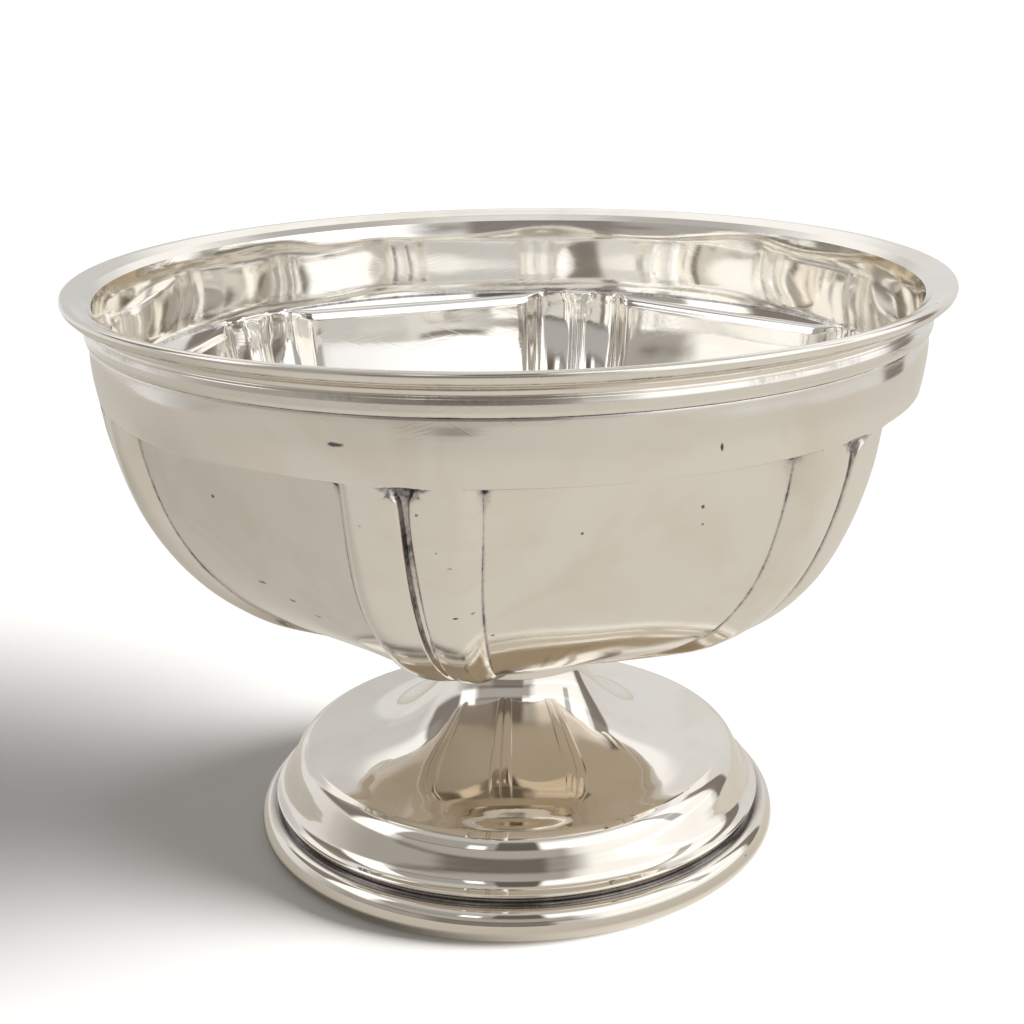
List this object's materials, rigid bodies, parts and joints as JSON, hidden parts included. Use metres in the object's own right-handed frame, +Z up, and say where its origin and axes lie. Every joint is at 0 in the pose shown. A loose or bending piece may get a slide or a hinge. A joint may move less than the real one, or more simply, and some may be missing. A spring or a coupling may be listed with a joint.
{
  "type": "footed bowl",
  "caption": "Footed metal bowl: plain belt over sunken flat panels between rounded ribs, moulded rim with everted lip, hollow trumpet foot on a half-round base ring.",
  "frame": {"origin": "centre of the base, on the plane the foot stands on", "axes": "+Z up along the bowl's axis; -Y towards the side seen in the picture"},
  "size_m": [0.1998, 0.1998, 0.1372],
  "materials": {
    "shell_silver": "polished warm silver, fine scratches, tarnish in the grooves",
    "rim_silver": "polished warm silver, tarnish in the mouldings",
    "foot_silver": "bright polished warm silver"
  },
  "bodies": {
    "root": {"bowl_body": "shell_silver", "rim_moulding": "rim_silver", "rim_lip": "rim_silver", "foot_pedestal": "foot_silver", "foot_ring": "foot_silver"}
  },
  "joints": []
}
